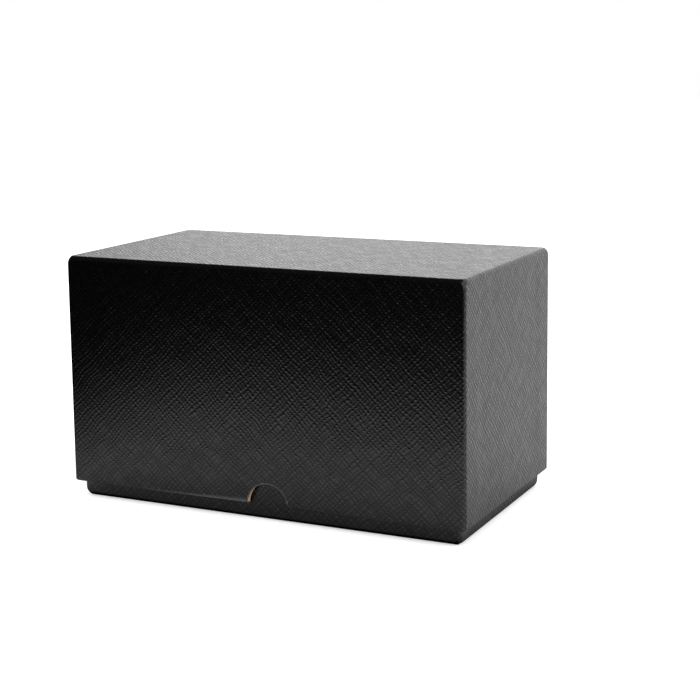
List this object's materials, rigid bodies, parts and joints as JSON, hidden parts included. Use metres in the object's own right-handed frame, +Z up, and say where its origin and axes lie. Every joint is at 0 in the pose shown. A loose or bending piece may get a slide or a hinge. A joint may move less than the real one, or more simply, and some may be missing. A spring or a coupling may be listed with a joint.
{
  "type": "card storage box",
  "caption": "Rigid paper-wrapped card storage box: a base tray and a telescoping lift-off lid with thumb notches in its rim.",
  "frame": {"origin": "on the ground under the middle of the closed box", "axes": "+X along the length, to the right as seen from the front; the front, with the thumb notch, faces -Y; +Z up, the way the lid lifts"},
  "size_m": [0.185, 0.1, 0.107],
  "materials": {
    "embossed_paper": "black coated paper, embossed with a fine cross-hatch grain, satin",
    "greyboard": "raw tan recycled board, matte",
    "corner_tape": "brown kraft paper tape, matte",
    "lining_paper": "smooth black uncoated paper, matte"
  },
  "bodies": {
    "base": {"base_bottom_sheet": "embossed_paper", "base_floor_board": "greyboard", "base_front_board": "greyboard", "base_back_board": "greyboard", "base_left_board": "greyboard", "base_right_board": "greyboard", "base_tape_front_left": "corner_tape", "base_tape_front_right": "corner_tape", "base_tape_back_left": "corner_tape", "base_tape_back_right": "corner_tape", "base_floor_lining": "lining_paper", "base_wall_lining": "lining_paper", "base_wrap": "embossed_paper"},
    "lid": {"lid_top_board": "greyboard", "lid_front_board": "greyboard", "lid_back_board": "greyboard", "lid_left_board": "greyboard", "lid_right_board": "greyboard", "lid_tape_front_left": "corner_tape", "lid_tape_front_right": "corner_tape", "lid_tape_back_left": "corner_tape", "lid_tape_back_right": "corner_tape", "lid_top_lining": "lining_paper", "lid_wall_lining": "lining_paper", "lid_wrap": "embossed_paper"}
  },
  "joints": [
    {"name": "lid_lift", "type": "slide", "parent": "base", "child": "lid", "axis": [0, 0, 1], "range_m": [0, 0.2]}
  ]
}
